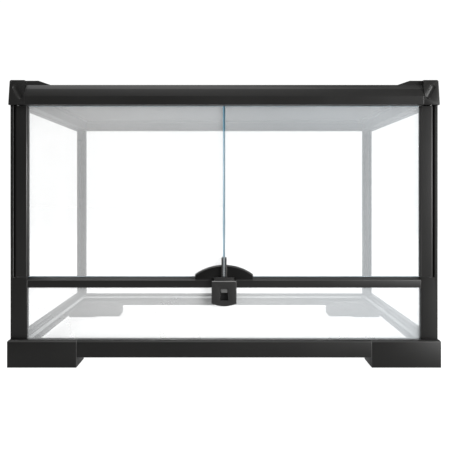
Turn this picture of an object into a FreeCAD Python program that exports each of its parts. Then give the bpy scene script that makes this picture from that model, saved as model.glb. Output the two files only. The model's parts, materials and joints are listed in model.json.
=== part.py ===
"""Glass small-animal cage with two front doors, a tilting latch and a lift-off mesh lid.

Own frame, millimetres: +X to the right, +Y to the rear, +Z up. The origin is at the middle of
the footprint, on the surface that the feet stand on. The doors are in the front, towards -Y.
"Inset" always means the distance inwards from the base's outer face on that side.
"""

import FreeCAD, Part
import math
import os

V = FreeCAD.Vector
tolerance = 0.1            # for finding edges by their place

# ---------------------------------------------------------------- driving sizes
overall_width = 600.0
overall_depth = 450.0
overall_height = 398.0

glass_thickness = 4.0
pane_inset = 10.5          # fixed panes' outer faces

# base frame
foot_height = 14.0         # free height under the base rails
foot_length = 96.0         # a corner foot's arm along the front or rear
foot_side_length = 60.0    # its arm along the side
foot_leg_width = 52.0
base_face_height = 22.0    # flat outer face of a base rail
base_chamfer = 2.0
base_lip_width = 18.5      # outer face to the lip's inner face
shelf_width = 26.0         # outer face to the shelf's inner edge
shelf_drop = 11.0          # base top down to the shelf that carries the floor
groove_drop = 10.0         # base top down to the panes' lower edges
wall = 3.0                 # moulded walls of the base
seal_size = 4.0            # silicone bead round the floor

# front frame
front_setback = 8.0        # post, bar and door faces behind the base's front face
post_side_inset = 2.5
post_width = 23.2
post_depth = 22.0
post_back_width = 16.5     # the part of the post behind the door
pad_depth = 10.0           # the thick part of the post beside the lower pane
pane_seat = 8.5            # how far a pane reaches into a post, and a post's or a bar's groove
bar_bottom = 109.5
bar_face_height = 10.4
bar_bevel_rise = 4.1       # sloping top edge, behind the door handles' lower edge
bar_depth = 16.0
bar_groove = 5.0

# rear posts
rear_post_inset = 8.0
rear_post_size = 16.0
rear_pane_seat = 6.0       # how far the side and rear panes reach into a rear post

# top frame
top_frame_height = 34.3    # corner cap's top down to the frame's lower edge
cap_rise = 5.8             # corner cap above the rails
top_inset = 1.4
rail_face_height = 11.9
rail_slope_run = 8.0       # shoulder between the flat face and the rail's top
rail_bulge = 1.0           # how far the shoulder curves out from a straight slope
rim_width = 20.0           # outer face to the rim's inner face
ledge_width = 27.0         # outer face to the lid ledge's inner edge
lid_recess = 14.0          # rail top down to the lid ledge
pane_top_seat = 10.0
cap_size = 23.5            # outer face to the cap block's inner face
cap_draft = 1.6
cap_corner_radius = 2.5
cap_arm = 41.0             # outer face to the end of the arm's flat top
cap_slope = 17.0
cap_arm_inset = 9.4
scoop_width = 9.4          # slanting hollow in the cap's front face
scoop_sink = 2.5
scoop_top = (10.6, 10.4)   # ends of its axis: (outer face to the end, cap top down to the end)
scoop_bottom = (17.2, 22.2)
nick_width = 1.6           # narrow groove beside the hollow
nick_sink = 0.5
nick_top = (16.9, 11.2)
nick_bottom = (22.0, 21.4)

# lid
lid_gap = 0.5
lid_rail_width = 12.0
lid_rail_height = 9.0
mesh_thickness = 0.8
mesh_height = 5.0          # mesh above the lid rails' underside
mesh_seat = 4.0
spline_radius = 1.5

# doors
door_gap = 1.0             # above the doors
door_sill_gap = 0.5
door_seam = 0.4
seam_chamfer = 1.0
stile_width = 17.7
stile_depth = 7.4
stile_edge = 0.8
stile_lip = 2.0            # thin strip on the glass beside the stile's front face
stile_lip_step = 0.9
stile_slot = 10.0
door_opening = 105.0       # degrees
swing_gap = 0.3
pin_radius = 1.5
pin_clearance = 0.05
pin_grip = 12.0            # pin inside the stile
pin_reach = 7.0            # pin inside the post or the cap

# door handles
handle_half_width = 40.3
handle_end_height = 7.1
handle_height = 20.1
handle_thickness = 4.0
handle_chamfer = 1.6
handle_gap = 1.6           # from the seam's middle to the handle
handle_drop = 3.2          # handle below the door's lower edge
fin_thickness = 2.0
fin_rise = 10.8
fin_depth = 8.2
fin_round = 2.4

# latch
latch_width = 34.5
latch_height = 35.0
latch_sag = 3.8            # how far the curved lower edge hangs below the sides
latch_front_inset = 0.5
latch_drop = 0.2           # latch top below the bar's face
latch_wall = 2.2
latch_back_gap = 0.4
latch_edge = 0.9
lip_width = 26.6
lip_height = 4.2
lip_thickness = 2.2
lip_gap = 0.5              # under the handles' notch
lip_side_gap = 0.9
slot_top_width = 9.6
slot_bottom_width = 11.8
slot_height = 16.1
slot_drop = 10.9           # latch top to slot top
latch_pin_radius = 1.0
latch_pin_height = 6.8     # pin above the latch's lowest point
latch_pin_inset = 4.5
bracket_thickness = 1.4
bracket_side_gap = 0.6
ear_thickness = 2.0
catch_width = 9.0
catch_height = 5.2
catch_guide_width = 15.0
catch_guide_height = 11.0
catch_guide_thickness = 1.2
catch_gap = 0.3

# ---------------------------------------------------------------- derived places
half_w = overall_width / 2
half_d = overall_depth / 2
base_face_top = foot_height + base_face_height
base_top = base_face_top + base_chamfer
shelf_top = base_top - shelf_drop
deck_bottom = shelf_top - wall
pane_bottom = base_top - groove_drop
floor_top = shelf_top + glass_thickness
pane_inner_inset = pane_inset + glass_thickness

frame_bottom = overall_height - top_frame_height
rail_top = overall_height - cap_rise
ledge_top = rail_top - lid_recess
pane_top = frame_bottom + pane_top_seat

front_y = -half_d + front_setback
post_outer_x = half_w - post_side_inset
post_inner_x = post_outer_x - post_width
post_back_x = post_outer_x - post_back_width
post_rear_y = front_y + post_depth
pane_front_y = -half_d + pane_inset

bar_face_top = bar_bottom + bar_face_height
bar_top = bar_face_top + bar_bevel_rise
door_bottom = bar_top + door_sill_gap
door_top = frame_bottom - door_gap
handle_bottom = door_bottom - handle_drop
knuckle_radius = stile_depth / 2
hinge_x = post_inner_x + stile_width - knuckle_radius
hinge_y = front_y + knuckle_radius
door_glass_front_y = hinge_y - glass_thickness / 2
door_glass_rear_y = hinge_y + glass_thickness / 2
stile_back_y = front_y + stile_depth
handle_back = door_glass_front_y + swing_gap - front_y
bar_bevel_run = handle_back * bar_bevel_rise / (handle_bottom - bar_face_top)

latch_front_y = -half_d + latch_front_inset
latch_top = bar_face_top - latch_drop
latch_bottom = latch_top - latch_height
latch_back_y = front_y - latch_back_gap
latch_pin_y = latch_front_y + latch_pin_inset
latch_pin_z = latch_bottom + latch_pin_height
lip_top = latch_top + lip_height
notch_top = lip_top + lip_gap
notch_half_width = lip_width / 2 + lip_side_gap
ear_radius = latch_pin_inset - latch_wall - swing_gap


# ---------------------------------------------------------------- shape helpers
def box(x0, x1, y0, y1, z0, z1):
    return Part.makeBox(x1 - x0, y1 - y0, z1 - z0, V(x0, y0, z0))


def prism(points, direction):
    """Extrude the closed polygon through these vectors along a direction."""
    return Part.Face(Part.makePolygon(points + points[:1])).extrude(direction)


def along_x(profile, x0, x1):
    """Extrude (inset, z) points, seen from the front side, between two x values."""
    return prism([V(x0, -half_d + inset, z) for inset, z in profile], V(x1 - x0, 0, 0))


def along_y(profile, y0, y1):
    """Extrude (inset, z) points, seen from the left side, between two y values."""
    return prism([V(-half_w + inset, y0, z) for inset, z in profile], V(0, y1 - y0, 0))


def upright(outline, z0, z1):
    """Extrude (x, y) points between two heights."""
    return prism([V(x, y, z0) for x, y in outline], V(0, 0, z1 - z0))


def rod(radius, centre, axis, length):
    return Part.makeCylinder(radius, length, centre, axis)


def mirror_x(shape):
    return shape.mirror(V(0, 0, 0), V(1, 0, 0))


def mirror_y(shape):
    return shape.mirror(V(0, 0, 0), V(0, 1, 0))


def joined(first, *others):
    return first.fuse(list(others)).removeSplitter()


def mitre(reach, z0, z1):
    """Front-left corner wedge that keeps what lies nearer the front face than the left face."""
    corner = (-half_w, -half_d)
    outline = [corner, (corner[0] + reach, corner[1]), (corner[0] + reach, corner[1] + reach)]
    return upright(outline, z0, z1)


def mitre_left(reach, z0, z1):
    corner = (-half_w, -half_d)
    outline = [corner, (corner[0] + reach, corner[1] + reach), (corner[0], corner[1] + reach)]
    return upright(outline, z0, z1)


# ---------------------------------------------------------------- base frame
def base_profile():
    return [
        (0, foot_height),
        (0, base_face_top),
        (base_chamfer, base_top),
        (base_lip_width, base_top),
        (base_lip_width, shelf_top),
        (shelf_width, shelf_top),
        (shelf_width, deck_bottom),
        (wall, deck_bottom),
        (wall, foot_height),
    ]


def foot_leg():
    """L-shaped leg under the front-left corner."""
    x0, y0 = -half_w, -half_d
    arm, side_arm, leg = foot_length, foot_side_length, foot_leg_width
    outline = [(x0, y0), (x0 + arm, y0), (x0 + arm, y0 + leg), (x0 + leg, y0 + leg),
               (x0 + leg, y0 + side_arm), (x0, y0 + side_arm)]
    return upright(outline, 0, shelf_top)


def front_left_foot():
    corner_x = along_x(base_profile(), -half_w, -half_w + foot_length)
    corner_y = along_y(base_profile(), -half_d, -half_d + foot_side_length)
    front_arm = corner_x.common(mitre(foot_length, foot_height, base_top))
    side_arm = corner_y.common(mitre_left(foot_side_length, foot_height, base_top))
    return joined(foot_leg(), front_arm, side_arm)


def base_front_rail():
    return along_x(base_profile(), -half_w + foot_length, half_w - foot_length)


def base_left_rail():
    return along_y(base_profile(), -half_d + foot_side_length, half_d - foot_side_length)


# ---------------------------------------------------------------- glass
def floor_glass():
    inset = base_lip_width
    return box(-half_w + inset, half_w - inset, -half_d + inset, half_d - inset, shelf_top, floor_top)


def floor_seal():
    """Silicone bead that fills the corner between the floor and the base's lip."""
    inset = base_lip_width
    block = box(-half_w + inset, half_w - inset, -half_d + inset, half_d - inset,
                floor_top, floor_top + seal_size)
    levels = []
    for rise, edge in ((0.0, inset + seal_size), (seal_size, inset)):
        x, y, z = half_w - edge, half_d - edge, floor_top + rise
        levels.append(Part.makePolygon([V(-x, -y, z), V(x, -y, z), V(x, y, z), V(-x, y, z), V(-x, -y, z)]))
    return block.cut(Part.makeLoft(levels, True))


def left_glass():
    x = -half_w + pane_inset
    front = post_rear_y - pane_seat
    rear = half_d - rear_post_inset - rear_post_size + rear_pane_seat
    return box(x, x + glass_thickness, front, rear, pane_bottom, pane_top)


def rear_glass():
    x = half_w - rear_post_inset - rear_post_size + rear_pane_seat
    y = half_d - pane_inner_inset
    return box(-x, x, y, y + glass_thickness, pane_bottom, pane_top)


def lower_front_glass():
    x = post_inner_x + pane_seat
    return box(-x, x, pane_front_y, pane_front_y + glass_thickness, pane_bottom, bar_bottom + bar_groove)


# ---------------------------------------------------------------- posts and front bar
def swing_guard():
    """Where the post's outer fin starts, so that the opened door's stile stays clear of it."""
    lean = math.radians(door_opening - 90)
    clear = knuckle_radius + swing_gap
    front_x = (clear + knuckle_radius * math.sin(lean)) / math.cos(lean)
    side_y = clear * (1 - math.cos(lean)) / math.sin(lean)
    return hinge_x + clear, hinge_x + front_x, hinge_y + side_y


def front_right_post():
    guard_x, fin_x, guard_y = swing_guard()
    back_y = stile_back_y + swing_gap
    outline = [(post_outer_x, front_y), (fin_x, front_y), (guard_x, guard_y), (guard_x, back_y),
               (post_back_x, back_y), (post_back_x, post_rear_y), (post_outer_x, post_rear_y)]
    column = upright(outline, base_top, frame_bottom)
    pad = box(post_inner_x, post_outer_x, front_y, front_y + pad_depth, base_top, bar_top)
    bore = rod(pin_radius + pin_clearance, V(hinge_x, hinge_y, bar_top - pin_reach), V(0, 0, 1), pin_reach)
    return joined(column, pad).cut(bore)


def rear_right_post():
    x = half_w - rear_post_inset
    y = half_d - rear_post_inset
    return box(x - rear_post_size, x, y - rear_post_size, y, base_top, frame_bottom)


def front_crossbar():
    rear_y = front_y + bar_depth
    profile = [(front_y, bar_bottom), (front_y, bar_face_top), (front_y + bar_bevel_run, bar_top),
               (rear_y, bar_top), (rear_y, bar_bottom)]
    points = [V(-post_inner_x, y, z) for y, z in profile]
    return prism(points, V(2 * post_inner_x, 0, 0))


# ---------------------------------------------------------------- top frame
def top_rail_face(place):
    """Section of a top rail: flat lower face, bulging shoulder, rim, lid ledge."""
    shoulder = frame_bottom + rail_face_height
    rise = rail_top - shoulder
    slope = math.hypot(rise, rail_slope_run)
    start = place(top_inset, shoulder)
    middle = place(top_inset + rail_slope_run / 2 - rail_bulge * rise / slope,
                   shoulder + rise / 2 + rail_bulge * rail_slope_run / slope)
    end = place(top_inset + rail_slope_run, rail_top)
    corners = [end, place(rim_width, rail_top), place(rim_width, ledge_top), place(ledge_width, ledge_top),
               place(ledge_width, frame_bottom), place(top_inset, frame_bottom), start]
    edges = [Part.Arc(start, middle, end).toShape()]
    edges += [Part.makeLine(a, b) for a, b in zip(corners, corners[1:])]
    return Part.Face(Part.Wire(edges))


def top_front_rail():
    x = half_w - cap_size
    section = top_rail_face(lambda inset, z: V(-x, -half_d + inset, z))
    return section.extrude(V(2 * x, 0, 0))


def top_left_rail():
    y = half_d - cap_size
    section = top_rail_face(lambda inset, z: V(-half_w + inset, -y, z))
    return section.extrude(V(0, 2 * y, 0))


def cap_arm_profile(start):
    """Raised strip on a rail's top: (distance from the corner, z), sloping down at its end."""
    return [(start, rail_top), (start, overall_height), (cap_arm, overall_height),
            (cap_arm + cap_slope, rail_top)]


def scoop(upper_end, lower_end, width, sink):
    """Long rounded hollow in the cap's front face, between two (reach, drop) points."""
    radius = (width ** 2 / 4 + sink ** 2) / (2 * sink)
    y = -half_d + top_inset - radius + sink
    start = V(-half_w + upper_end[0], y, overall_height - upper_end[1])
    end = V(-half_w + lower_end[0], y, overall_height - lower_end[1])
    body = rod(radius, start, end - start, (end - start).Length)
    return body.fuse([Part.makeSphere(radius, start), Part.makeSphere(radius, end)])


def front_left_cap():
    levels = []
    for z, inset in ((frame_bottom, top_inset), (overall_height, top_inset + cap_draft)):
        x0, y0 = -half_w + inset, -half_d + inset
        x1, y1 = -half_w + cap_size, -half_d + cap_size
        outline = [V(x0, y0, z), V(x1, y0, z), V(x1, y1, z), V(x0, y1, z), V(x0, y0, z)]
        levels.append(Part.makePolygon(outline))
    block = Part.makeLoft(levels, True)
    outer_top = -half_w + top_inset + cap_draft
    soft = [edge for edge in block.Edges
            if edge.BoundBox.XMax < outer_top + tolerance and edge.BoundBox.ZMin > overall_height - tolerance]
    block = block.makeFillet(cap_corner_radius, soft)

    front = [V(-half_w + reach, -half_d + cap_arm_inset, z) for reach, z in cap_arm_profile(cap_arm_inset)]
    side = [V(-half_w + cap_arm_inset, -half_d + reach, z) for reach, z in cap_arm_profile(cap_arm_inset)]
    front_arm = prism(front, V(0, rim_width - cap_arm_inset, 0))
    side_arm = prism(side, V(rim_width - cap_arm_inset, 0, 0))

    ledge = box(-half_w + rim_width, -half_w + cap_size, -half_d + rim_width, -half_d + cap_size,
                ledge_top, overall_height)
    hollow = scoop(scoop_top, scoop_bottom, scoop_width, scoop_sink)
    nick = scoop(nick_top, nick_bottom, nick_width, nick_sink)
    return joined(block, front_arm, side_arm).cut([ledge, hollow, nick])


# ---------------------------------------------------------------- lid
def lid_inset():
    return rim_width + lid_gap


def lid_front_rail():
    outer = lid_inset()
    x0, y0 = -half_w + outer, -half_d + outer
    bottom = ledge_top
    outline = [(x0, y0), (-x0, y0), (-x0 - lid_rail_width, y0 + lid_rail_width),
               (x0 + lid_rail_width, y0 + lid_rail_width)]
    return upright(outline, bottom, bottom + lid_rail_height)


def lid_left_rail():
    outer = lid_inset()
    x0, y0 = -half_w + outer, -half_d + outer
    outline = [(x0, y0), (x0 + lid_rail_width, y0 + lid_rail_width),
               (x0 + lid_rail_width, -y0 - lid_rail_width), (x0, -y0)]
    return upright(outline, ledge_top, ledge_top + lid_rail_height)


def lid_mesh():
    inset = lid_inset() + lid_rail_width - mesh_seat
    x, y, z = half_w - inset, half_d - inset, ledge_top + mesh_height
    return box(-x, x, -y, y, z, z + mesh_thickness)


def mesh_spline():
    """Round rubber cord that presses the mesh's edge into the lid rails' groove."""
    inset = lid_inset() + lid_rail_width - mesh_seat + spline_radius
    x, y = half_w - inset, half_d - inset
    z = ledge_top + mesh_height + mesh_thickness + spline_radius
    ring = []
    for sx, sy in ((1, 0), (0, 1)):
        for side in (-1, 1):
            start = V(-x if sx else side * x, -y if sy else side * y, z)
            ring.append(rod(spline_radius, start, V(sx, sy, 0), 2 * (x if sx else y)))
    for sx in (-1, 1):
        for sy in (-1, 1):
            ring.append(Part.makeSphere(spline_radius, V(sx * x, sy * y, z)))
    return joined(*ring)


def spline_channel():
    """Rebate above the mesh's edge, where the cord lies, open at the lid's top."""
    outer = lid_inset() + lid_rail_width - mesh_seat
    inner = outer + mesh_seat
    z0 = ledge_top + mesh_height + mesh_thickness
    z1 = ledge_top + lid_rail_height
    ring = box(-half_w + outer, half_w - outer, -half_d + outer, half_d - outer, z0, z1)
    return ring.cut(box(-half_w + inner, half_w - inner, -half_d + inner, half_d - inner, z0, z1))


# ---------------------------------------------------------------- right door (the left mirrors it)
def lip_notch():
    """Room at the handle's lower free corner for the latch's lip."""
    return box(0, notch_half_width, -half_d, door_glass_front_y, handle_bottom, notch_top)


def right_door_glass():
    outer_x = post_inner_x + stile_slot
    edge_x = door_seam / 2
    front, rear, cut = door_glass_front_y, door_glass_rear_y, seam_chamfer
    outline = [(outer_x, front), (edge_x + cut, front), (edge_x, front + cut), (edge_x, rear - cut),
               (edge_x + cut, rear), (outer_x, rear)]
    return upright(outline, door_bottom, door_top)


def right_hinge_pins():
    lower = rod(pin_radius, V(hinge_x, hinge_y, door_bottom - pin_reach), V(0, 0, 1), pin_reach + pin_grip)
    upper = rod(pin_radius, V(hinge_x, hinge_y, door_top - pin_grip), V(0, 0, 1), pin_reach + pin_grip)
    return Part.makeCompound([lower, upper])


def right_door_stile():
    cut = stile_edge
    lip_x = post_inner_x - stile_lip
    lip_y = front_y + stile_lip_step
    outline = [(hinge_x, front_y), (post_inner_x + cut, front_y), (post_inner_x, lip_y), (lip_x, lip_y),
               (lip_x, stile_back_y - cut), (lip_x + cut, stile_back_y), (hinge_x, stile_back_y)]
    web = upright(outline, door_bottom, door_top)
    knuckle = rod(knuckle_radius, V(hinge_x, hinge_y, door_bottom), V(0, 0, 1), door_top - door_bottom)
    return joined(web, knuckle).cut([right_door_glass(), right_hinge_pins()])


def handle_outline_face(y):
    """Quarter-moon outline on the right of the seam, at the handle's front or back."""
    x0, x1 = handle_gap, handle_half_width
    z0 = handle_bottom
    end_top = z0 + handle_end_height
    rise = handle_height - handle_end_height
    radius = (x1 ** 2 + rise ** 2) / (2 * rise)
    centre_z = z0 + handle_height - radius

    def on_arc(x):
        return V(x, y, centre_z + math.sqrt(radius ** 2 - x ** 2))

    edges = [Part.Arc(on_arc(x0), on_arc((x0 + x1) / 2), on_arc(x1)).toShape()]
    corners = [V(x1, y, end_top), V(x1, y, z0), V(x0, y, z0), on_arc(x0)]
    edges += [Part.makeLine(a, b) for a, b in zip(corners, corners[1:])]
    return Part.Face(Part.Wire(edges))


def right_handle():
    plate_front = door_glass_front_y - handle_thickness
    plate = handle_outline_face(plate_front).extrude(V(0, handle_thickness, 0))
    outline_edges = [edge for edge in plate.Edges if edge.BoundBox.YMax < plate_front + tolerance]
    rim = [edge for edge in outline_edges
           if edge.BoundBox.ZMax > handle_bottom + handle_end_height + tolerance
           and edge.BoundBox.XMax > handle_gap + tolerance]
    plate = plate.makeChamfer(handle_chamfer, rim)

    fin_top = handle_bottom + handle_height + fin_rise
    fin_front = door_glass_front_y - fin_depth
    fin = box(handle_gap, handle_gap + fin_thickness, fin_front, door_glass_front_y, handle_bottom, fin_top)
    round_edges = [edge for edge in fin.Edges
                   if edge.BoundBox.ZMin > fin_top - tolerance and edge.BoundBox.XLength > fin_thickness / 2]
    fin = fin.makeFillet(fin_round, round_edges)
    return joined(plate, fin).cut(lip_notch())


# ---------------------------------------------------------------- latch
def latch_front_face(y):
    """Latch outline seen from the front: straight sides and a curved lower edge."""
    x = latch_width / 2
    side_bottom = latch_bottom + latch_sag
    edges = [Part.Arc(V(-x, y, side_bottom), V(0, y, latch_bottom), V(x, y, side_bottom)).toShape()]
    corners = [V(x, y, side_bottom), V(x, y, latch_top), V(-x, y, latch_top), V(-x, y, side_bottom)]
    edges += [Part.makeLine(a, b) for a, b in zip(corners, corners[1:])]
    return Part.Face(Part.Wire(edges))


def latch_slot():
    """Tapered opening through the latch's front wall, wider towards its lower end."""
    top = latch_top - slot_drop
    bottom = top - slot_height
    half_top, half_bottom = slot_top_width / 2, slot_bottom_width / 2
    points = [V(-half_bottom, latch_front_y, bottom), V(half_bottom, latch_front_y, bottom),
              V(half_top, latch_front_y, top), V(-half_top, latch_front_y, top)]
    return prism(points, V(0, latch_wall, 0))


def latch_block():
    """Shell that is open at the back: front wall, two cheeks, a top and the lip that holds the doors."""
    x = latch_width / 2
    front_edge = latch_front_face(latch_front_y).extrude(V(0, latch_wall, 0))
    soft = [edge for edge in front_edge.Edges if edge.BoundBox.YMax < latch_front_y + tolerance]
    front = front_edge.makeChamfer(latch_edge, soft)
    inside_y = latch_front_y + latch_wall
    parts = [front, box(-x, x, inside_y, latch_back_y, latch_top - latch_wall, latch_top)]
    cheek_radius = latch_back_y - latch_pin_y
    for side in (-1, 1):
        outer = side * x
        inner = side * (x - latch_wall)
        x0, x1 = min(outer, inner), max(outer, inner)
        parts.append(box(x0, x1, inside_y, latch_back_y, latch_pin_z, latch_top))
        parts.append(rod(cheek_radius, V(x0, latch_pin_y, latch_pin_z), V(1, 0, 0), latch_wall))
    lip_y = inside_y
    parts.append(box(-lip_width / 2, lip_width / 2, lip_y, lip_y + lip_thickness,
                     latch_top - latch_wall, lip_top))
    bore = rod(latch_pin_radius + pin_clearance, V(-x, latch_pin_y, latch_pin_z), V(1, 0, 0), latch_width)
    return joined(*parts).cut([latch_slot(), bore])


def latch_pin():
    return rod(latch_pin_radius, V(-latch_width / 2, latch_pin_y, latch_pin_z), V(1, 0, 0), latch_width)


def latch_bracket():
    """Plate on the front bar with two ears that carry the latch's pin."""
    x = latch_width / 2 - latch_wall - bracket_side_gap
    plate_front = front_y - bracket_thickness
    plate_bottom = latch_pin_z - ear_radius
    plate_top = latch_top - latch_wall - swing_gap
    parts = [box(-x, x, plate_front, front_y, plate_bottom, plate_top)]
    for side in (-1, 1):
        x0 = side * x if side < 0 else x - ear_thickness
        parts.append(rod(ear_radius, V(x0, latch_pin_y, latch_pin_z), V(1, 0, 0), ear_thickness))
        parts.append(box(x0, x0 + ear_thickness, latch_pin_y, front_y,
                         latch_pin_z - ear_radius, latch_pin_z + ear_radius))
    return joined(*parts).cut(latch_pin())


def latch_catch():
    """Thumb piece at the slot's top, on a guide plate behind the latch's front wall."""
    slot_top = latch_top - slot_drop
    guide_y = latch_front_y + latch_wall + catch_gap
    guide_top = slot_top + catch_guide_height - catch_height
    guide = box(-catch_guide_width / 2, catch_guide_width / 2, guide_y, guide_y + catch_guide_thickness,
                guide_top - catch_guide_height, guide_top)
    z1 = slot_top - catch_gap
    thumb = box(-catch_width / 2, catch_width / 2, latch_front_y + latch_edge / 2, guide_y,
                z1 - catch_height, z1)
    soft = [edge for edge in thumb.Edges if edge.BoundBox.YMax < latch_front_y + latch_edge]
    thumb = thumb.makeFillet(latch_edge, soft)
    return joined(thumb, guide)


# ---------------------------------------------------------------- assembly
def build():
    panes = {
        "left_glass": left_glass(),
        "right_glass": mirror_x(left_glass()),
        "rear_glass": rear_glass(),
        "lower_front_glass": lower_front_glass(),
    }
    cutters = list(panes.values())
    nodes = dict(panes)
    nodes["floor_glass"] = floor_glass()
    nodes["floor_seal"] = floor_seal()

    foot = front_left_foot()
    cap = front_left_cap()
    post = front_right_post()
    rear_post = rear_right_post()
    front_rail = base_front_rail()
    left_rail = base_left_rail()
    rim_front = top_front_rail()
    rim_left = top_left_rail().cut([rim_front, mirror_y(rim_front)])
    pin_bore = rod(pin_radius + pin_clearance, V(hinge_x, hinge_y, frame_bottom), V(0, 0, 1), pin_reach)
    framed = {
        "front_left_foot": foot,
        "front_right_foot": mirror_x(foot),
        "rear_left_foot": mirror_y(foot),
        "rear_right_foot": mirror_x(mirror_y(foot)),
        "base_front_rail": front_rail,
        "base_rear_rail": mirror_y(front_rail),
        "base_left_rail": left_rail,
        "base_right_rail": mirror_x(left_rail),
        "front_left_post": mirror_x(post),
        "front_right_post": post,
        "rear_left_post": mirror_x(rear_post),
        "rear_right_post": rear_post,
        "front_crossbar": front_crossbar(),
        "top_front_rail": rim_front,
        "top_rear_rail": mirror_y(rim_front),
        "top_left_rail": rim_left,
        "top_right_rail": mirror_x(rim_left),
        "front_left_cap": cap.cut(mirror_x(pin_bore)),
        "front_right_cap": mirror_x(cap).cut(pin_bore),
        "rear_left_cap": mirror_y(cap),
        "rear_right_cap": mirror_x(mirror_y(cap)),
    }
    for name, shape in framed.items():
        nodes[name] = shape.cut(cutters)

    mesh = lid_mesh()
    cord = mesh_spline()
    lid_cutters = [mesh, spline_channel()]
    nodes["lid_mesh"] = mesh
    nodes["mesh_spline"] = cord
    nodes["lid_front_rail"] = lid_front_rail().cut(lid_cutters)
    nodes["lid_rear_rail"] = mirror_y(lid_front_rail()).cut(lid_cutters)
    nodes["lid_left_rail"] = lid_left_rail().cut(lid_cutters)
    nodes["lid_right_rail"] = mirror_x(lid_left_rail()).cut(lid_cutters)

    door = {
        "door_glass": right_door_glass(),
        "door_stile": right_door_stile(),
        "handle": right_handle(),
        "hinge_pins": right_hinge_pins(),
    }
    for name, shape in door.items():
        nodes["right_" + name] = shape
        nodes["left_" + name] = mirror_x(shape)

    nodes["latch_block"] = latch_block()
    nodes["latch_pin"] = latch_pin()
    nodes["latch_bracket"] = latch_bracket()
    nodes["latch_catch"] = latch_catch()
    return nodes


os.makedirs("parts", exist_ok=True)
for node, solid in build().items():
    solid.exportStep(os.path.join("parts", node + ".step"))
    print(node, len(solid.Solids), round(solid.Volume / 1000, 2), "cm3")
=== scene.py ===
import json
import math

import bpy
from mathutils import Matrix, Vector

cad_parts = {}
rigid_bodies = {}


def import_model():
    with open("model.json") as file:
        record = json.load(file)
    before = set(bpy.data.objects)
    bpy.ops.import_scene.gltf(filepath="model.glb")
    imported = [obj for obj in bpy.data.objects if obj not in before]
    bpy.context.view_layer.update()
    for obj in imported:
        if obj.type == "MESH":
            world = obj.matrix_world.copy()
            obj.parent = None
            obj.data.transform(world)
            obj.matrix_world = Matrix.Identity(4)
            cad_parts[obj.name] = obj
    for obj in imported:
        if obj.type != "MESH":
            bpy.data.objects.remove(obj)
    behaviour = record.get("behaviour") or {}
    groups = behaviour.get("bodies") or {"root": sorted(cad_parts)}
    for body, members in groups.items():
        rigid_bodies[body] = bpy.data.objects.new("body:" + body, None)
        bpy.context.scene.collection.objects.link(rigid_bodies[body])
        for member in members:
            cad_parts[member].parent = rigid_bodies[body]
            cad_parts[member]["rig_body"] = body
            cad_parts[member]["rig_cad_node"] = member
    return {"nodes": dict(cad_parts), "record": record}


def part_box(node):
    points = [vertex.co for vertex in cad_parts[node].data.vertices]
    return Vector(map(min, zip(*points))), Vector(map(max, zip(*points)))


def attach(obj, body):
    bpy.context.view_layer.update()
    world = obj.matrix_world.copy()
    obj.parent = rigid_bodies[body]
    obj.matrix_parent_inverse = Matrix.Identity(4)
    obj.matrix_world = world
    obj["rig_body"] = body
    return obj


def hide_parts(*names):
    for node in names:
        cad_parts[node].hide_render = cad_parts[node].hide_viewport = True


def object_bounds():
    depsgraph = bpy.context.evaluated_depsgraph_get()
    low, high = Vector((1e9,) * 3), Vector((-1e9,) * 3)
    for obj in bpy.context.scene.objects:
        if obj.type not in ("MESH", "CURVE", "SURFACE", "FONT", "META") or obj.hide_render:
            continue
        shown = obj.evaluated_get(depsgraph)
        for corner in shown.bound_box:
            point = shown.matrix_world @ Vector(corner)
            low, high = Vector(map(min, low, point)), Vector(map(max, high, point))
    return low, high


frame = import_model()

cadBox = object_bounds()
print("frame loaded:", len(frame["nodes"]), "nodes")

bodyOf = {}
for body, nodes in frame["record"]["behaviour"]["bodies"].items():
    for node in nodes:
        bodyOf[node] = body

mm = 0.001
merging = {"distance": 0.01 * mm, "flatAngle": math.radians(0.8)}
edgeAngles = {"rounded": math.radians(32), "smooth": math.radians(40), "shoulderSmooth": math.radians(12)}


# ---- small hand tools ----

def deselectAll():
    bpy.ops.object.select_all(action="DESELECT")


def focusOn(piece):
    deselectAll()
    piece.select_set(True)
    bpy.context.view_layer.objects.active = piece


def applyAll(piece):
    focusOn(piece)
    for modifier in list(piece.modifiers):
        bpy.ops.object.modifier_apply(modifier=modifier.name)


def takeCopy(node, name):
    # a merged copy of a CAD node, ready for edge work
    source = frame["nodes"][node]
    focusOn(source)
    bpy.ops.object.duplicate()
    piece = bpy.context.view_layer.objects.active
    piece.name = name
    piece.parent = None
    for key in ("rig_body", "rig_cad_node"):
        if key in piece:
            del piece[key]
    piece.data.materials.clear()
    focusOn(piece)
    bpy.ops.mesh.customdata_custom_splitnormals_clear()
    bpy.ops.object.mode_set(mode="EDIT")
    bpy.ops.mesh.select_all(action="SELECT")
    bpy.ops.mesh.remove_doubles(threshold=merging["distance"])
    bpy.ops.mesh.dissolve_limited(angle_limit=merging["flatAngle"])
    bpy.ops.object.mode_set(mode="OBJECT")
    return piece


def roundEdges(piece, width, segments=3, slotIndex=-1, smooth=edgeAngles["smooth"]):
    focusOn(piece)
    bpy.ops.object.modifier_add(type="BEVEL")
    rounding = piece.modifiers[-1]
    rounding.width = width
    rounding.segments = segments
    rounding.limit_method = "ANGLE"
    rounding.angle_limit = edgeAngles["rounded"]
    rounding.material = slotIndex
    rounding.miter_outer = "MITER_ARC"
    applyAll(piece)
    bpy.ops.object.shade_smooth_by_angle(angle=smooth)


def finishPiece(piece, body, slotName, *replaced):
    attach(piece, body)
    if replaced:
        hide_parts(*replaced)


# ---- node tree helpers ----

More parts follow.
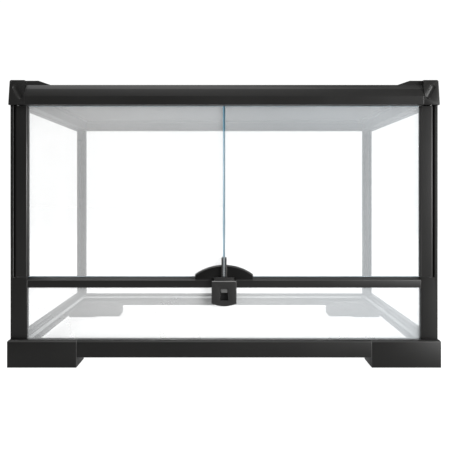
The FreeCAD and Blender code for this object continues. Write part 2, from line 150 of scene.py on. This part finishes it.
def newGroup(name, inputs, outputs):
    group = bpy.data.node_groups.new(name, "ShaderNodeTree")
    for title, kind, default in inputs:
        socket = group.interface.new_socket(title, in_out="INPUT", socket_type=kind)
        if default is not None:
            socket.default_value = default
    for title, kind in outputs:
        group.interface.new_socket(title, in_out="OUTPUT", socket_type=kind)
    return group, group.nodes.new("NodeGroupInput"), group.nodes.new("NodeGroupOutput")


def addNode(tree, kind, **settings):
    node = tree.nodes.new(kind)
    for key, value in settings.items():
        setattr(node, key, value)
    return node


def addNoise(tree, vector, scale, detail=3.0, roughness=0.55):
    noise = addNode(tree, "ShaderNodeTexNoise")
    noise.inputs["Detail"].default_value = detail
    noise.inputs["Roughness"].default_value = roughness
    tree.links.new(vector, noise.inputs["Vector"])
    if isinstance(scale, (int, float)):
        noise.inputs["Scale"].default_value = scale
    else:
        tree.links.new(scale, noise.inputs["Scale"])
    return noise.outputs["Fac"]


def addMath(tree, operation, a, b=None, clamp=False):
    node = addNode(tree, "ShaderNodeMath", operation=operation, use_clamp=clamp)
    for index, value in enumerate((a, b)):
        if value is None:
            continue
        if isinstance(value, (int, float)):
            node.inputs[index].default_value = value
        else:
            tree.links.new(value, node.inputs[index])
    return node.outputs[0]


def addRange(tree, value, fromLow, fromHigh, toLow, toHigh):
    node = addNode(tree, "ShaderNodeMapRange", clamp=True)
    for title, item in (("Value", value), ("From Min", fromLow), ("From Max", fromHigh),
                        ("To Min", toLow), ("To Max", toHigh)):
        if isinstance(item, (int, float)):
            node.inputs[title].default_value = item
        else:
            tree.links.new(item, node.inputs[title])
    return node.outputs["Result"]


def addMix(tree, factor, a, b):
    node = addNode(tree, "ShaderNodeMix", data_type="RGBA", clamp_factor=True)
    for socket, item in ((node.inputs[0], factor), (node.inputs[6], a), (node.inputs[7], b)):
        if isinstance(item, (int, float, tuple)):
            socket.default_value = item
        else:
            tree.links.new(item, socket)
    return node.outputs[2]


def addBump(material, height, strength, distance, shader):
    tree = material.node_tree
    bump = addNode(tree, "ShaderNodeBump")
    bump.inputs["Strength"].default_value = strength
    bump.inputs["Distance"].default_value = distance
    tree.links.new(height, bump.inputs["Height"])
    tree.links.new(bump.outputs["Normal"], shader.inputs["Normal"])


def newMaterial(name):
    material = bpy.data.materials.new(name)
    material.use_nodes = True
    shader = material.node_tree.nodes["Principled BSDF"]
    coords = addNode(material.node_tree, "ShaderNodeTexCoord")
    return material, shader, coords.outputs["Object"]


# ---- shared effects ----

def makeMouldedGrain():
    # spark-eroded mould grain, slow tone drift, and a light film of dust
    group, into, out = newGroup(
        "mouldedGrain",
        [("Vector", "NodeSocketVector", None),
         ("Tone", "NodeSocketColor", (0.012, 0.012, 0.011, 1)),
         ("Dusty Tone", "NodeSocketColor", (0.03, 0.03, 0.029, 1)),
         ("Grain Scale", "NodeSocketFloat", 1400.0),
         ("Low Roughness", "NodeSocketFloat", 0.34),
         ("High Roughness", "NodeSocketFloat", 0.5)],
        [("Color", "NodeSocketColor"), ("Roughness", "NodeSocketFloat"), ("Height", "NodeSocketFloat")])
    vector = into.outputs["Vector"]
    grain = addNoise(group, vector, into.outputs["Grain Scale"], 2.0, 0.6)
    drift = addNoise(group, vector, 9.0, 3.0, 0.5)
    specks = addNoise(group, vector, 420.0, 1.0, 0.5)
    dust = addRange(group, specks, 0.66, 0.78, 0.0, 0.5)
    film = addRange(group, drift, 0.4, 0.75, 0.0, 0.3)
    amount = addMath(group, "ADD", dust, film, clamp=True)
    colour = addMix(group, amount, into.outputs["Tone"], into.outputs["Dusty Tone"])
    mixed = addMath(group, "ADD", addMath(group, "MULTIPLY", drift, 0.7),
                    addMath(group, "MULTIPLY", grain, 0.3))
    rough = addRange(group, mixed, 0.3, 0.7, into.outputs["Low Roughness"],
                     into.outputs["High Roughness"])
    group.links.new(colour, out.inputs["Color"])
    group.links.new(rough, out.inputs["Roughness"])
    group.links.new(grain, out.inputs["Height"])
    return group


# painted reflection under the lid: the pane's veil rises between these heights
lidReflection = {"starts": 0.322, "full": 0.345}      # heights above the feet


def makePaneFilm():
    # diagonal bands of painted sky reflection, with a haze of fingerprints and wipe marks on it
    group, into, out = newGroup(
        "paneFilm",
        [("Vector", "NodeSocketVector", None),
         ("Clear Tint", "NodeSocketColor", (0.97, 0.98, 0.98, 1)),
         ("Sky Reflection Tint", "NodeSocketColor", (0.86, 0.91, 0.95, 1)),
         ("Low Veil", "NodeSocketFloat", 0.3),
         ("High Veil", "NodeSocketFloat", 0.4),
         ("Lid Reflection", "NodeSocketFloat", 0.0)],
        [("Color", "NodeSocketColor"), ("Alpha", "NodeSocketFloat"),
         ("Roughness", "NodeSocketFloat"), ("Height", "NodeSocketFloat")])
    vector = into.outputs["Vector"]
    split = addNode(group, "ShaderNodeSeparateXYZ")
    group.links.new(vector, split.inputs[0])
    # painted reflection: a diagonal sine band across the pane, mixed from the clear tint towards the sky
    # tint
    slant = addMath(group, "ADD", addMath(group, "MULTIPLY", split.outputs["X"], 7.0),
                    addMath(group, "MULTIPLY", split.outputs["Z"], 4.0))
    slant = addMath(group, "ADD", slant, addMath(group, "MULTIPLY", split.outputs["Y"], 5.0))
    wave = addMath(group, "SINE", slant)
    reflectionBand = addRange(group, wave, -0.8, 0.9, 0.0, 1.0)
    smear = addNoise(group, vector, 5.0, 2.0, 0.5)
    wipe = addNoise(group, vector, 60.0, 2.0, 0.5)
    colour = addMix(group, reflectionBand, into.outputs["Clear Tint"], into.outputs["Sky Reflection Tint"])
    haze = addMath(group, "ADD", addMath(group, "MULTIPLY", smear, 0.9),
                   addMath(group, "MULTIPLY", wipe, 0.1))
    veil = addRange(group, haze, 0.35, 0.65, into.outputs["Low Veil"], into.outputs["High Veil"])
    # stands in for the brighter reflections just under the lid
    underLid = addRange(group, split.outputs["Z"], lidReflection["starts"], lidReflection["full"],
                        0.0, into.outputs["Lid Reflection"])
    veil = addMath(group, "ADD", veil, underLid)
    rough = addRange(group, haze, 0.4, 0.7, 0.04, 0.08)
    group.links.new(colour, out.inputs["Color"])
    group.links.new(veil, out.inputs["Alpha"])
    group.links.new(rough, out.inputs["Roughness"])
    group.links.new(wipe, out.inputs["Height"])
    return group


mouldedGrain = makeMouldedGrain()
paneFilm = makePaneFilm()


# ---- materials ----

def makePlastic(name, look):
    material, shader, coords = newMaterial(name)
    tree = material.node_tree
    grain = addNode(tree, "ShaderNodeGroup", node_tree=mouldedGrain)
    tree.links.new(coords, grain.inputs["Vector"])
    grain.inputs["Tone"].default_value = (*look["tone"], 1)
    grain.inputs["Dusty Tone"].default_value = (*look["dusty"], 1)
    grain.inputs["Grain Scale"].default_value = look["grainScale"]
    grain.inputs["Low Roughness"].default_value = look["roughness"][0]
    grain.inputs["High Roughness"].default_value = look["roughness"][1]
    tree.links.new(grain.outputs["Color"], shader.inputs["Base Color"])
    tree.links.new(grain.outputs["Roughness"], shader.inputs["Roughness"])
    shader.inputs["Specular IOR Level"].default_value = look["gloss"]
    shader.inputs["IOR"].default_value = 1.5
    addBump(material, grain.outputs["Height"], look["bump"], 0.0002, shader)
    return material


frameLook = {"tone": (0.0056, 0.0054, 0.0050), "dusty": (0.0095, 0.0093, 0.0088), "grainScale": 1500.0,
             "roughness": (0.38, 0.5), "gloss": 0.3, "bump": 0.12}
# edge plastic: a lighter, glossier copy of the frame plastic, a painted highlight on rounded edges and on
# faces picked by their facing
edgeHighlightLook = dict(frameLook, tone=(0.032, 0.0316, 0.031), dusty=(0.05, 0.05, 0.048), gloss=0.6,
                roughness=(0.28, 0.4), bump=0.05)
# painted highlight band along the top rails' upper shoulder and their rounded edges
shoulderHighlightLook = dict(edgeHighlightLook, tone=(0.014, 0.0138, 0.0133), dusty=(0.021, 0.0207, 0.02), gloss=0.45)
handleLook = dict(frameLook, tone=(0.004, 0.0039, 0.0037), dusty=(0.007, 0.0069, 0.0066), gloss=0.13)
latchLook = dict(frameLook, tone=(0.016, 0.0157, 0.0153), dusty=(0.024, 0.0237, 0.023),
                 roughness=(0.4, 0.52))
# latch edge plastic: a much lighter copy of the latch plastic, a painted highlight on the latch block's
# rounded edges and its upward and outward faces
latchEdgeHighlightLook = dict(latchLook, tone=(0.19, 0.19, 0.187), dusty=(0.23, 0.23, 0.226), bump=0.04)
catchLook = dict(latchLook, tone=(0.1, 0.1, 0.098), dusty=(0.13, 0.13, 0.127),
                 roughness=(0.22, 0.32), bump=0.03)

framePlastic = makePlastic("framePlastic", frameLook)
edgeHighlightPlastic = makePlastic("edgeHighlightPlastic", edgeHighlightLook)
shoulderHighlightPlastic = makePlastic("shoulderHighlightPlastic", shoulderHighlightLook)
handlePlastic = makePlastic("handlePlastic", handleLook)
latchPlastic = makePlastic("latchPlastic", latchLook)
latchEdgeHighlight = makePlastic("latchEdgeHighlight", latchEdgeHighlightLook)
catchPlastic = makePlastic("catchPlastic", catchLook)


def makeGlass(name, look):
    material, shader, coords = newMaterial(name)
    tree = material.node_tree
    film = addNode(tree, "ShaderNodeGroup", node_tree=paneFilm)
    tree.links.new(coords, film.inputs["Vector"])
    film.inputs["Clear Tint"].default_value = (*look["clear"], 1)
    film.inputs["Sky Reflection Tint"].default_value = (*look["skyReflection"], 1)
    film.inputs["Low Veil"].default_value = look["veil"][0]
    film.inputs["High Veil"].default_value = look["veil"][1]
    film.inputs["Lid Reflection"].default_value = look["lidReflection"]
    tree.links.new(film.outputs["Color"], shader.inputs["Base Color"])
    tree.links.new(film.outputs["Alpha"], shader.inputs["Alpha"])
    tree.links.new(film.outputs["Roughness"], shader.inputs["Roughness"])
    shader.inputs["IOR"].default_value = 1.52
    addBump(material, film.outputs["Height"], 0.004, 0.0001, shader)
    return material


def makeGlassEdge(look):
    # ground and polished edge: deep blue-green, with fine grinding lines
    material, shader, coords = newMaterial("glassEdge")
    tree = material.node_tree
    lines = addNoise(tree, coords, 700.0, 2.0, 0.6)
    depth = addNoise(tree, coords, 30.0, 2.0, 0.5)
    colour = addMix(tree, depth, (*look["pale"], 1), (*look["deep"], 1))
    rough = addRange(tree, lines, 0.3, 0.7, 0.1, 0.28)
    tree.links.new(colour, shader.inputs["Base Color"])
    tree.links.new(rough, shader.inputs["Roughness"])
    clearness = addRange(tree, depth, 0.3, 0.7, look["alpha"][0], look["alpha"][1])
    tree.links.new(clearness, shader.inputs["Alpha"])
    shader.inputs["IOR"].default_value = 1.52
    addBump(material, lines, 0.05, 0.0001, shader)
    return material


# A veil is per face, and a look through a pane passes two of them.
# The front panes carry more of it, in place of the pale surroundings that they reflect.
doorLook = {"clear": (0.92, 0.93, 0.93), "skyReflection": (0.8, 0.84, 0.865), "veil": (0.185, 0.215),
            "lidReflection": 0.06}
paneLook = dict(doorLook, veil=(0.055, 0.08), lidReflection=0.0)
lowerLook = dict(doorLook, veil=(0.27, 0.3), lidReflection=0.0)
floorLook = dict(doorLook, veil=(0.04, 0.06), lidReflection=0.0)
doorGlass = makeGlass("doorGlass", doorLook)
paneGlass = makeGlass("paneGlass", paneLook)
lowerGlass = makeGlass("lowerGlass", lowerLook)
floorGlass = makeGlass("floorGlass", floorLook)
glassEdgeLook = {"pale": (0.13, 0.27, 0.35), "deep": (0.10, 0.22, 0.29), "alpha": (0.82, 0.92)}
glassEdge = makeGlassEdge(glassEdgeLook)


def makeSoft(name, look):
    # silicone and rubber: cloudy tone and a soft uneven skin
    material, shader, coords = newMaterial(name)
    tree = material.node_tree
    cloud = addNoise(tree, coords, 60.0, 3.0, 0.5)
    skin = addNoise(tree, coords, 900.0, 2.0, 0.5)
    colour = addMix(tree, cloud, (*look["tone"], 1), (*look["cloud"], 1))
    rough = addRange(tree, skin, 0.3, 0.7, look["roughness"][0], look["roughness"][1])
    tree.links.new(colour, shader.inputs["Base Color"])
    tree.links.new(rough, shader.inputs["Roughness"])
    shader.inputs["Alpha"].default_value = look["alpha"]
    addBump(material, skin, 0.1, 0.0001, shader)
    return material


silicone = makeSoft("silicone", {"tone": (0.62, 0.64, 0.64), "cloud": (0.78, 0.8, 0.8),
                                 "roughness": (0.3, 0.45), "alpha": 0.6})
splineRubber = makeSoft("splineRubber", {"tone": (0.015, 0.015, 0.015), "cloud": (0.03, 0.03, 0.03),
                                         "roughness": (0.6, 0.8), "alpha": 1.0})


def makeMetal(name, look):
    material, shader, coords = newMaterial(name)
    tree = material.node_tree
    streak = addNoise(tree, coords, 1200.0, 2.0, 0.6)
    stain = addNoise(tree, coords, 50.0, 3.0, 0.5)
    colour = addMix(tree, stain, (*look["tone"], 1), (*look["stain"], 1))
    rough = addRange(tree, streak, 0.3, 0.7, look["roughness"][0], look["roughness"][1])
    tree.links.new(colour, shader.inputs["Base Color"])
    tree.links.new(rough, shader.inputs["Roughness"])
    shader.inputs["Metallic"].default_value = look["metallic"]
    addBump(material, streak, 0.06, 0.0001, shader)
    return material


pinSteel = makeMetal("pinSteel", {"tone": (0.56, 0.56, 0.57), "stain": (0.42, 0.41, 0.40),
                                  "roughness": (0.22, 0.4), "metallic": 1.0})
wirePaint = makeMetal("wirePaint", {"tone": (0.02, 0.02, 0.02), "stain": (0.04, 0.04, 0.038),
                                    "roughness": (0.35, 0.5), "metallic": 0.0})
print("materials made")


# ---- moulded frame pieces ----

frameSizes = {"rounding": 0.5 * mm, "capRounding": 0.8 * mm, "stileRounding": 0.35 * mm,
              "handleRounding": 0.35 * mm, "lidRounding": 0.6 * mm}
frameNodes = {
    "rounding": ["front_left_foot", "front_right_foot", "rear_left_foot", "rear_right_foot",
                 "base_front_rail", "base_rear_rail", "base_left_rail", "base_right_rail",
                 "front_left_post", "front_right_post", "rear_left_post", "rear_right_post",
                 "front_crossbar", "top_front_rail", "top_rear_rail", "top_left_rail", "top_right_rail"],
    "capRounding": ["front_left_cap", "front_right_cap", "rear_left_cap", "rear_right_cap"],
    "stileRounding": ["left_door_stile", "right_door_stile"],
    "handleRounding": ["left_handle", "right_handle"],
    "lidRounding": ["lid_front_rail", "lid_rear_rail", "lid_left_rail", "lid_right_rail"],
}


def makeMoulded(node, width, slotName, faceMaterial, edgeMaterial, highlightFaces=None):
    piece = takeCopy(node, node + "_moulded")
    piece.data.materials.append(faceMaterial)
    piece.data.materials.append(edgeMaterial)
    # the smaller angle keeps the fold along the top rails' shoulder crisp
    smooth = edgeAngles["shoulderSmooth" if node.startswith("top_") else "smooth"]
    # the rounding takes slot 1, the lighter edge material, as a painted highlight along the rounded edges
    roundEdges(piece, width, 3, 1, smooth)
    # painted highlight: faces picked by their facing direction take the lighter edge slot
    for face in piece.data.polygons:
        if highlightFaces and highlightFaces(face.normal):
            face.material_index = 1
    finishPiece(piece, bodyOf[node], slotName, node)


def facesUp(normal):
    return normal.z > 0.25


def facesUpAndOut(normal):
    return normal.y < -0.2 and normal.z > 0.25


# the top rails' upper shoulder faces, which take the painted highlight
def facesShoulderTop(normal):
    return 0.47 < normal.z < 0.95


# painted highlight on faces that face the light: upward faces of the crossbar, upward and outward faces
# of the handles, the top rails' shoulder
highlightFacesByNode = {"front_crossbar": facesUp, "left_handle": facesUpAndOut, "right_handle": facesUpAndOut,
               "top_front_rail": facesShoulderTop, "top_rear_rail": facesShoulderTop,
               "top_left_rail": facesShoulderTop, "top_right_rail": facesShoulderTop}
for size, nodes in frameNodes.items():
    faceMaterial = handlePlastic if size == "handleRounding" else framePlastic
    for node in nodes:
        edgeMaterial = shoulderHighlightPlastic if node.startswith("top_") else edgeHighlightPlastic
        makeMoulded(node, frameSizes[size], "black_plastic", faceMaterial, edgeMaterial,
                    highlightFacesByNode.get(node))
print("frame mouldings done")


# ---- glass ----

glassSizes = {"arris": 0.35 * mm}
glassNodes = {
    "left_glass": ("pane_glass", paneGlass, 0), "right_glass": ("pane_glass", paneGlass, 0),
    "rear_glass": ("pane_glass", paneGlass, 1), "lower_front_glass": ("pane_glass", lowerGlass, 1),
    "floor_glass": ("pane_glass", floorGlass, 2),
    "left_door_glass": ("door_glass", doorGlass, 1), "right_door_glass": ("door_glass", doorGlass, 1),
}


def makePane(node, slotName, faceMaterial, thinAxis):
    piece = takeCopy(node, node + "_pane")
    piece.data.materials.append(faceMaterial)
    piece.data.materials.append(glassEdge)
    roundEdges(piece, glassSizes["arris"], 2, 1)
    for face in piece.data.polygons:
        upright = abs(face.normal.z) < 0.5
        face.material_index = 1 if upright and abs(face.normal[thinAxis]) < 0.98 else 0
    finishPiece(piece, bodyOf[node], slotName, node)


for node, (slotName, material, thinAxis) in glassNodes.items():
    makePane(node, slotName, material, thinAxis)
print("panes done")


# ---- seal, spline, pins ----

def makeBead(node, name, width, segments, slotName, material):
    piece = takeCopy(node, name)
    piece.data.materials.append(material)
    roundEdges(piece, width, segments)
    finishPiece(piece, bodyOf[node], slotName, node)


makeBead("floor_seal", "floor_seal_bead", 0.8 * mm, 4, "silicone", silicone)
for node, material in (("mesh_spline", splineRubber), ("left_hinge_pins", pinSteel),
                       ("right_hinge_pins", pinSteel), ("latch_pin", pinSteel)):
    holder = frame["nodes"][node]
    holder.data.materials.clear()
    holder.data.materials.append(material)
print("seal, spline and pins done")


# ---- latch ----

latchSizes = {"rounding": 0.75 * mm, "bracketRounding": 0.25 * mm, "catchRounding": 0.4 * mm}
makeMoulded("latch_block", latchSizes["rounding"], "latch_plastic", latchPlastic, latchEdgeHighlight,
            facesUpAndOut)
makeMoulded("latch_bracket", latchSizes["bracketRounding"], "latch_plastic", framePlastic, edgeHighlightPlastic)
makeMoulded("latch_catch", latchSizes["catchRounding"], "catch_plastic", catchPlastic, catchPlastic)
print("latch done")


# ---- woven lid mesh ----

wireSizes = {"pitch": 3.0 * mm, "radius": 0.36 * mm, "wave": 0.3 * mm, "sides": 3}


def makeWires(name, runAxis):
    # one wire's wave is extruded, arrayed along itself, then arrayed across the lid with its neighbour
    low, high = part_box("lid_mesh")
    middle = (low + high) / 2
    length = high[runAxis] - low[runAxis]
    crossAxis = 1 - runAxis
    across = high[crossAxis] - low[crossAxis]
    pitch = wireSizes["pitch"]
    waves = int(length / (2 * pitch))
    rows = int(across / (2 * pitch))
    start = Vector((0, 0, middle.z))
    start[runAxis] = middle[runAxis] - waves * pitch
    halves = []
    for phase in (0, 1):
        rise = wireSizes["wave"] * (1 if phase == 0 else -1) * (1 if runAxis == 0 else -1)
        place = start.copy()
        place[crossAxis] = middle[crossAxis] - rows * pitch + (phase + 0.5) * pitch
        place.z += rise
        deselectAll()
        turn = (0, math.pi / 2, 0) if runAxis == 0 else (math.pi / 2, 0, 0)
        bpy.ops.mesh.primitive_circle_add(vertices=wireSizes["sides"], radius=wireSizes["radius"],
                                          location=place, rotation=turn)
        wire = bpy.context.view_layer.objects.active
        bpy.ops.object.transform_apply(location=True, rotation=True, scale=True)
        bpy.ops.object.mode_set(mode="EDIT")
        bpy.ops.mesh.select_all(action="SELECT")
        for step in (-2, 2):
            move = Vector((0, 0, step * rise))
            move[runAxis] = pitch
            bpy.ops.mesh.extrude_region_move(TRANSFORM_OT_translate={"value": move})
        bpy.ops.object.mode_set(mode="OBJECT")
        for axis, count in ((runAxis, waves), (crossAxis, rows)):
            bpy.ops.object.modifier_add(type="ARRAY")
            array = wire.modifiers[-1]
            array.use_relative_offset = False
            array.use_constant_offset = True
            step = Vector((0, 0, 0))
            step[axis] = 2 * pitch
            array.constant_offset_displace = step
            array.count = count
            array.use_merge_vertices = axis == runAxis
            array.merge_threshold = merging["distance"]
            bpy.ops.object.modifier_apply(modifier=array.name)
        halves.append(wire)
    deselectAll()
    for wire in halves:
        wire.select_set(True)
    bpy.context.view_layer.objects.active = halves[0]
    bpy.ops.object.join()
    wires = halves[0]
    wires.name = name
    bpy.ops.object.mode_set(mode="EDIT")
    bpy.ops.mesh.select_all(action="SELECT")
    bpy.ops.mesh.fill_holes(sides=wireSizes["sides"])
    bpy.ops.mesh.normals_make_consistent(inside=False)
    bpy.ops.object.mode_set(mode="OBJECT")
    bpy.ops.object.shade_smooth()
    wires.data.materials.append(wirePaint)
    return wires


longWires = makeWires("lid_wires_long", 0)
crossWires = makeWires("lid_wires_cross", 1)
finishPiece(longWires, "lid", "mesh_wire", "lid_mesh")
finishPiece(crossWires, "lid", "mesh_wire")
print("lid mesh woven:", len(longWires.data.polygons) + len(crossWires.data.polygons), "faces")


# ---- floor, light, camera ----

studio = {"floorSize": 14.0, "floorPlace": (0, 2.0, -0.0004),
          "floorTone": (0.45, 0.45, 0.45), "floorGlow": 0.93, "floorBounce": 0.3, "world": 0.25,
          "backdrop": 1.05}


def makeFloor():
    deselectAll()
    bpy.ops.mesh.primitive_plane_add(size=studio["floorSize"], location=studio["floorPlace"])
    floor = bpy.context.view_layer.objects.active
    floor.name = "studioFloor"
    bpy.ops.object.transform_apply(location=True, rotation=True, scale=True)
    material, shader, coords = newMaterial("paleFloor")
    tree = material.node_tree
    mottle = addNoise(tree, coords, 3.0, 2.0, 0.5)
    tone = studio["floorTone"]
    lighter = tuple(min(1.0, value * 1.03) for value in tone)
    tree.links.new(addMix(tree, mottle, (*tone, 1), (*lighter, 1)), shader.inputs["Base Color"])
    shader.inputs["Roughness"].default_value = 0.9
    shader.inputs["Specular IOR Level"].default_value = 0.1
    shader.inputs["Emission Color"].default_value = (1, 1, 1, 1)
    # the camera sees the sweep lifted to white, while it lights the cage from below only softly
    path = addNode(tree, "ShaderNodeLightPath")
    glow = addRange(tree, path.outputs["Is Camera Ray"], 0.0, 1.0,
                    studio["floorBounce"], studio["floorGlow"])
    tree.links.new(glow, shader.inputs["Emission Strength"])
    floor.data.materials.append(material)


def makeWorld():
    world = bpy.data.worlds.new("studioWorld")
    bpy.context.scene.world = world
    world.use_nodes = True
    tree = world.node_tree
    tree.nodes.clear()
    seen = addNode(tree, "ShaderNodeBackground")
    seen.inputs["Color"].default_value = (1, 1, 1, 1)
    seen.inputs["Strength"].default_value = studio["backdrop"]
    lit = addNode(tree, "ShaderNodeBackground")
    lit.inputs["Color"].default_value = (0.98, 0.99, 1.0, 1)
    lit.inputs["Strength"].default_value = studio["world"]
    path = addNode(tree, "ShaderNodeLightPath")
    mix = addNode(tree, "ShaderNodeMixShader")
    out = addNode(tree, "ShaderNodeOutputWorld")
    tree.links.new(path.outputs["Is Camera Ray"], mix.inputs[0])
    tree.links.new(lit.outputs[0], mix.inputs[1])
    tree.links.new(seen.outputs[0], mix.inputs[2])
    tree.links.new(mix.outputs[0], out.inputs["Surface"])


softboxes = {
    "overhead": {"place": (-0.45, -0.49, 1.9), "aim": (0, -0.2, 0.2), "size": (2.4, 1.1), "power": 18},
    "frontHigh": {"place": (0.2, -2.2, 1.7), "aim": (0, 0, 0.2), "size": (1.6, 0.9), "power": 4},
    "frontRight": {"place": (2.0, -1.6, 0.45), "aim": (0.1, 0, 0.2), "size": (1.2, 0.8), "power": 78},
    "frontLeft": {"place": (-1.9, -1.5, 1.8), "aim": (0, 0, 0.2), "size": (1.0, 1.0), "power": 1},
    "behind": {"place": (0.3, 2.2, 1.4), "aim": (0, 0, 0.2), "size": (2.0, 1.2), "power": 20},
}


def makeSoftboxes():
    for name, box in softboxes.items():
        data = bpy.data.lights.new(name, "AREA")
        data.shape = "RECTANGLE"
        data.size, data.size_y = box["size"]
        data.energy = box["power"]
        lamp = bpy.data.objects.new(name, data)
        bpy.context.scene.collection.objects.link(lamp)
        lamp.location = box["place"]
        lamp.rotation_mode = "QUATERNION"
        aim = Vector(box["aim"]) - Vector(box["place"])
        lamp.rotation_quaternion = aim.to_track_quat("-Z", "Y")


shot = {"distance": 0.98, "height": 0.2456, "across": 0.6215, "side": 0.0013, "lift": -35 / 450}


def makeCamera():
    low, high = cadBox
    data = bpy.data.cameras.new("shotCamera")
    data.sensor_width = 36.0
    data.lens = 36.0 * shot["distance"] / shot["across"]
    data.shift_y = shot["lift"]
    camera = bpy.data.objects.new("shotCamera", data)
    bpy.context.scene.collection.objects.link(camera)
    camera.location = (shot["side"], low.y - shot["distance"], shot["height"])
    camera.rotation_euler = (math.pi / 2, 0, 0)
    bpy.context.scene.camera = camera


makeFloor()
makeWorld()
makeSoftboxes()
makeCamera()
bpy.context.scene.view_settings.view_transform = "Standard"
print("studio ready")
